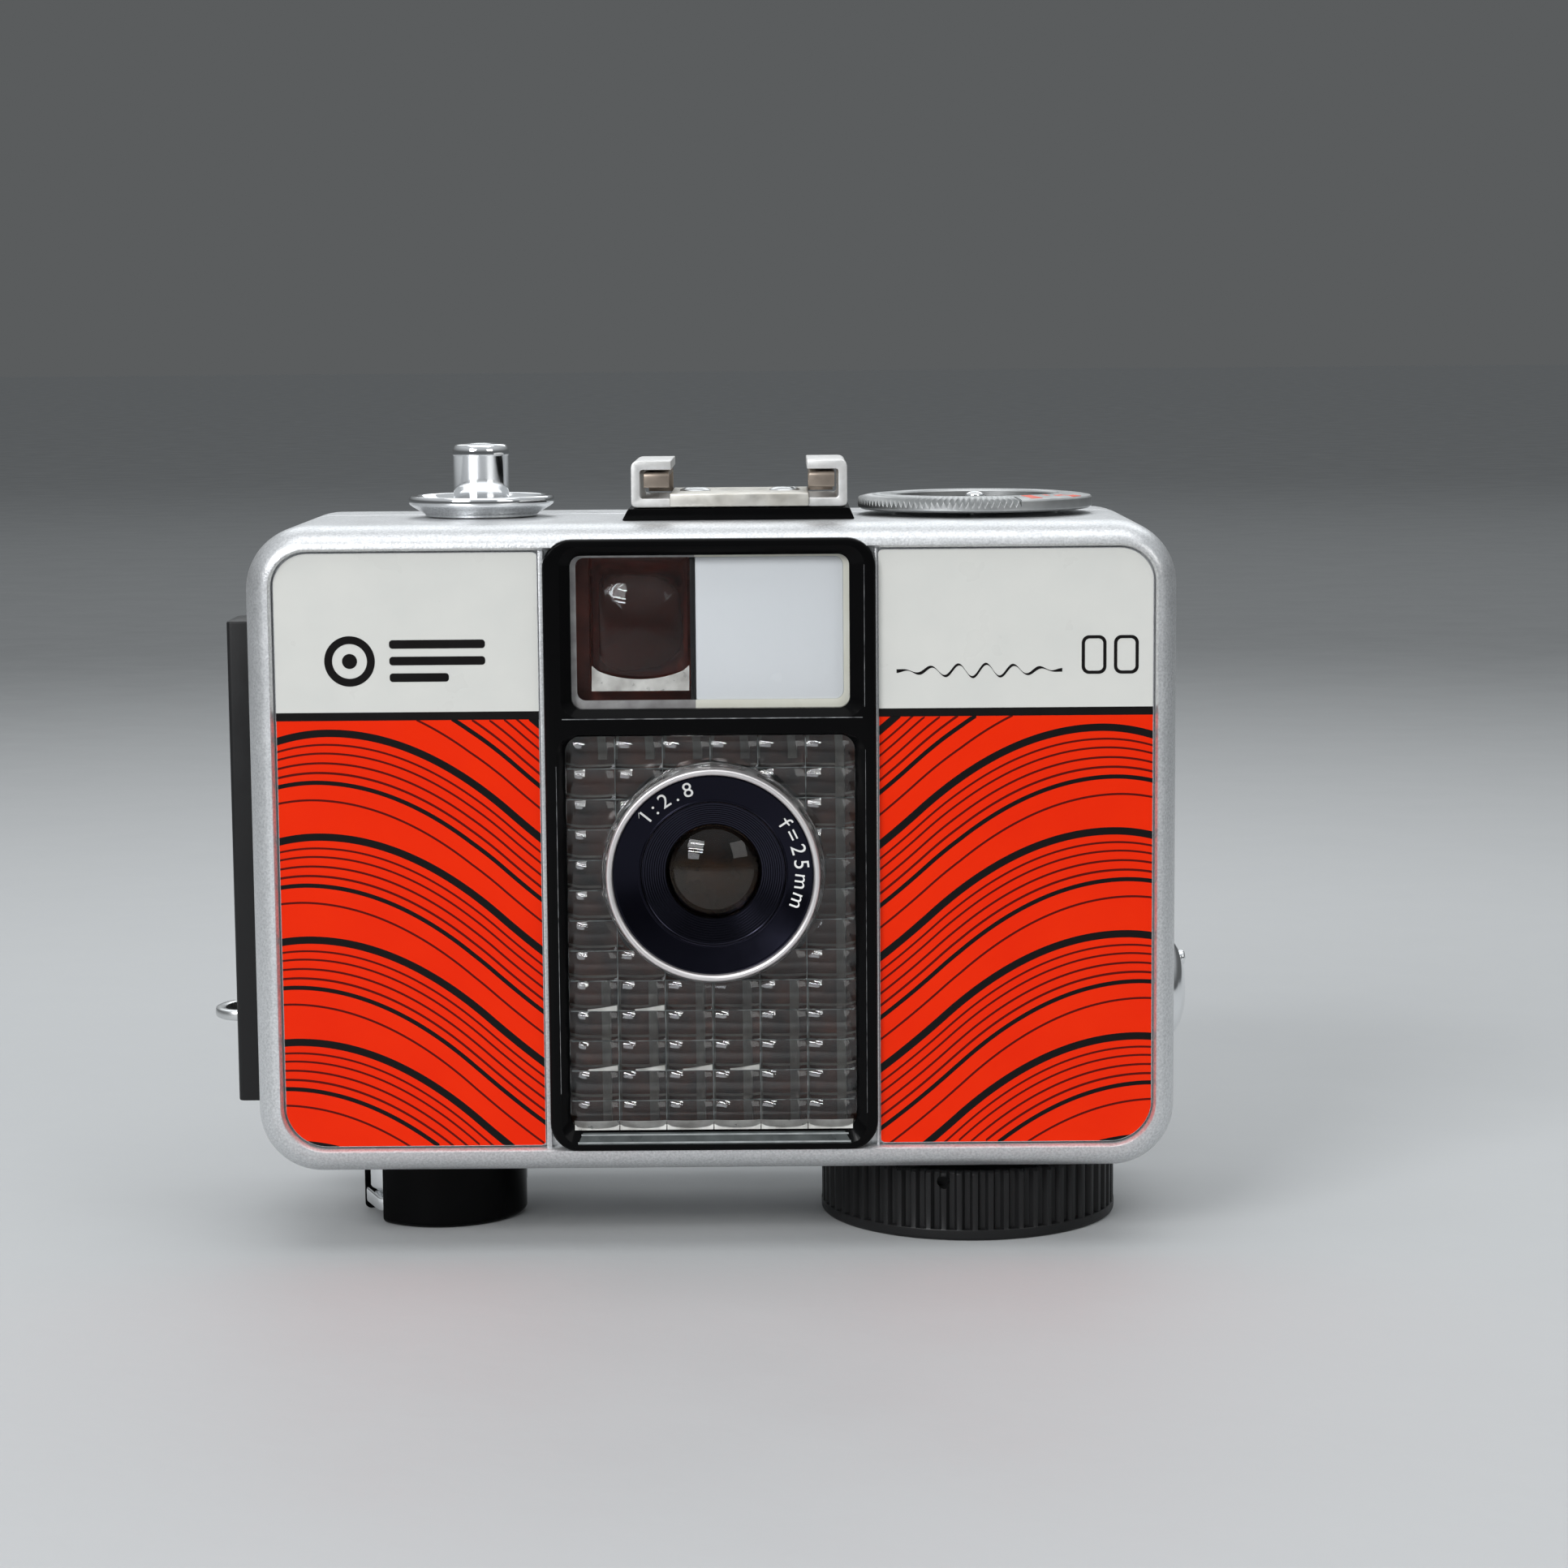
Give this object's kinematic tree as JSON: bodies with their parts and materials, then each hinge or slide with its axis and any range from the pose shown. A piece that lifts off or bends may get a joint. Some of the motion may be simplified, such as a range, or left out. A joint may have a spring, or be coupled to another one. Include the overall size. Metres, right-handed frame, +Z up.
{
  "type": "half frame camera",
  "caption": "Half frame 35 mm film camera with a spring motor, decorated front panels, a prismatic meter window, accessory shoe, winder knob, rewind crank and hinged back.",
  "frame": {"origin": "middle of the bounding box, on the plane that the two knobs under the camera stand on", "axes": "+X to the right across the camera seen from the front, +Y from the lens to the back, +Z up"},
  "size_m": [0.0956, 0.0356, 0.0759],
  "materials": {
    "satin_silver": "satin silver paint with a fine grain",
    "printed_panel": "satin orange-red print under a white band, with black and dark red wave lines",
    "gloss_black": "moulded gloss black",
    "satin_black": "satin black moulding",
    "leatherette": "grained black leatherette",
    "steel": "plain bright steel",
    "chrome": "polished chrome",
    "black_casting": "matt black die casting",
    "black_metal": "blackened metal",
    "clear_plastic": "clear moulded plastic",
    "lens_glass": "coated optical glass",
    "half_mirror": "half-silvered glass",
    "white_diffuser": "smooth white diffusing plastic",
    "meter_cell": "dark brown light cell under lacquer",
    "brass": "plain brass",
    "spring_steel": "blue-brown tempered steel",
    "satin_aluminium": "fine-turned satin aluminium"
  },
  "bodies": {
    "root": {"front_cover": "satin_silver", "panel_left": "printed_panel", "panel_right": "printed_panel", "front_bezel": "gloss_black", "side_plate": "satin_black", "hinge_pin": "steel", "strap_lug": "steel", "body_casting": "black_casting", "window_glazing": "clear_plastic", "frame_light_window": "white_diffuser", "finder_front_lens": "clear_plastic", "finder_housing": "satin_black", "finder_beam_splitter": "half_mirror", "finder_frame_mask": "black_metal", "eyepiece_frame": "satin_black", "eyepiece_lens": "clear_plastic", "prism_window": "clear_plastic", "selenium_cell": "meter_cell", "meter_movement": "brass", "lens_ring": "chrome", "name_ring": "gloss_black", "lens_cell": "black_metal", "front_element": "lens_glass", "middle_element": "lens_glass", "rear_element": "lens_glass", "lens_barrel": "black_metal", "shutter_plate": "black_metal", "shoe_base": "satin_black", "shoe_rail": "steel", "shoe_spring": "spring_steel", "shoe_screw_left": "steel", "shoe_screw_right": "steel", "release_collar": "chrome", "release_spring": "spring_steel", "tripod_socket": "steel", "counter_window": "clear_plastic"},
    "door": {"back_door": "satin_silver", "door_covering": "leatherette", "door_leaf": "satin_black", "pressure_spring": "spring_steel"},
    "plate": {"pressure_plate": "black_metal"},
    "latch": {"latch_knob": "chrome"},
    "needle": {"meter_needle": "steel"},
    "blade_upper": {"shutter_blade_upper": "black_metal"},
    "blade_lower": {"shutter_blade_lower": "black_metal"},
    "button": {"release_button": "chrome"},
    "dial": {"dial_ring": "satin_aluminium", "dial_disc": "satin_black", "dial_shaft": "chrome"},
    "winder": {"winder_knob": "satin_black", "winder_arbor": "steel"},
    "take_up": {"take_up_spool": "satin_black", "mainspring": "spring_steel"},
    "idler": {"idler_gear": "brass"},
    "sprocket": {"film_sprocket": "satin_black"},
    "counter": {"counter_dial": "white_diffuser"},
    "rewind": {"rewind_knob": "gloss_black", "rewind_shaft": "steel"},
    "crank": {"crank_arm": "chrome"},
    "clutch": {"clutch_button": "steel"}
  },
  "joints": [
    {"name": "door_swing", "type": "hinge", "parent": "root", "child": "door", "pos_m": [-0.0437, 0.0059, 0.0358], "axis": [0, 0, 1], "range_deg": [0, 100]},
    {"name": "plate_press", "type": "slide", "parent": "door", "child": "plate", "axis": [0, 1, 0], "range_m": [0, 0.0008], "stiffness_N_per_m": 200, "springref_m": -0.001},
    {"name": "latch_turn", "type": "hinge", "parent": "root", "child": "latch", "pos_m": [0.0451, 0.0017, 0.0219], "axis": [1, 0, 0], "range_deg": [0, 90]},
    {"name": "needle_swing", "type": "hinge", "parent": "root", "child": "needle", "pos_m": [0.02, -0.0077, 0.0669], "axis": [0, 0, 1], "range_deg": [0, 40], "stiffness_Nm_per_rad": 0.0001},
    {"name": "blade_upper_turn", "type": "hinge", "parent": "root", "child": "blade_upper", "pos_m": [0.0088, -0.0051, 0.03625], "axis": [0, 1, 0], "range_deg": [0, 32], "stiffness_Nm_per_rad": 0.0002},
    {"name": "blade_lower_turn", "type": "hinge", "parent": "root", "child": "blade_lower", "pos_m": [-0.0056, -0.0046, 0.03625], "axis": [0, 1, 0], "range_deg": [0, 32]},
    {"name": "button_press", "type": "slide", "parent": "root", "child": "button", "axis": [0, 0, -1], "range_m": [0, 0.0015], "stiffness_N_per_m": 300, "springref_m": -0.001},
    {"name": "dial_turn", "type": "hinge", "parent": "root", "child": "dial", "pos_m": [0.027, 0.0017, 0.07], "axis": [0, 0, 1], "range_deg": [-120, 120]},
    {"name": "winder_turn", "type": "hinge", "parent": "root", "child": "winder", "pos_m": [0.0262, 0.0017, 0.004], "axis": [0, 0, 1], "range_deg": [0, 720]},
    {"name": "take_up_turn", "type": "hinge", "parent": "root", "child": "take_up", "pos_m": [0.0262, 0.0017, 0.036], "axis": [0, 0, 1], "continuous": true},
    {"name": "idler_turn", "type": "hinge", "parent": "root", "child": "idler", "pos_m": [0.01633, 0.00007, 0.01], "axis": [0, 0, 1], "continuous": true},
    {"name": "sprocket_turn", "type": "hinge", "parent": "root", "child": "sprocket", "pos_m": [0.0148, 0.0069, 0.036], "axis": [0, 0, 1], "continuous": true},
    {"name": "counter_turn", "type": "hinge", "parent": "root", "child": "counter", "pos_m": [-0.0118, -0.0073, 0.01], "axis": [0, 0, 1], "continuous": true},
    {"name": "rewind_turn", "type": "hinge", "parent": "root", "child": "rewind", "pos_m": [-0.0257, 0.0017, 0.004], "axis": [0, 0, 1], "continuous": true},
    {"name": "crank_fold", "type": "hinge", "parent": "rewind", "child": "crank", "pos_m": [-0.02255, 0.00297, 0.00175], "axis": [0.3746, -0.9272, 0], "range_deg": [0, 175]},
    {"name": "clutch_press", "type": "slide", "parent": "root", "child": "clutch", "axis": [0, 0, 1], "range_m": [0, 0.001], "stiffness_N_per_m": 200, "springref_m": -0.001}
  ],
  "couplings": [
    {"joint": "blade_lower_turn", "follows": "blade_upper_turn", "ratio": 1},
    {"joint": "idler_turn", "follows": "take_up_turn", "ratio": -1.5},
    {"joint": "sprocket_turn", "follows": "take_up_turn", "ratio": 2},
    {"joint": "counter_turn", "follows": "take_up_turn", "ratio": 0.03125}
  ]
}
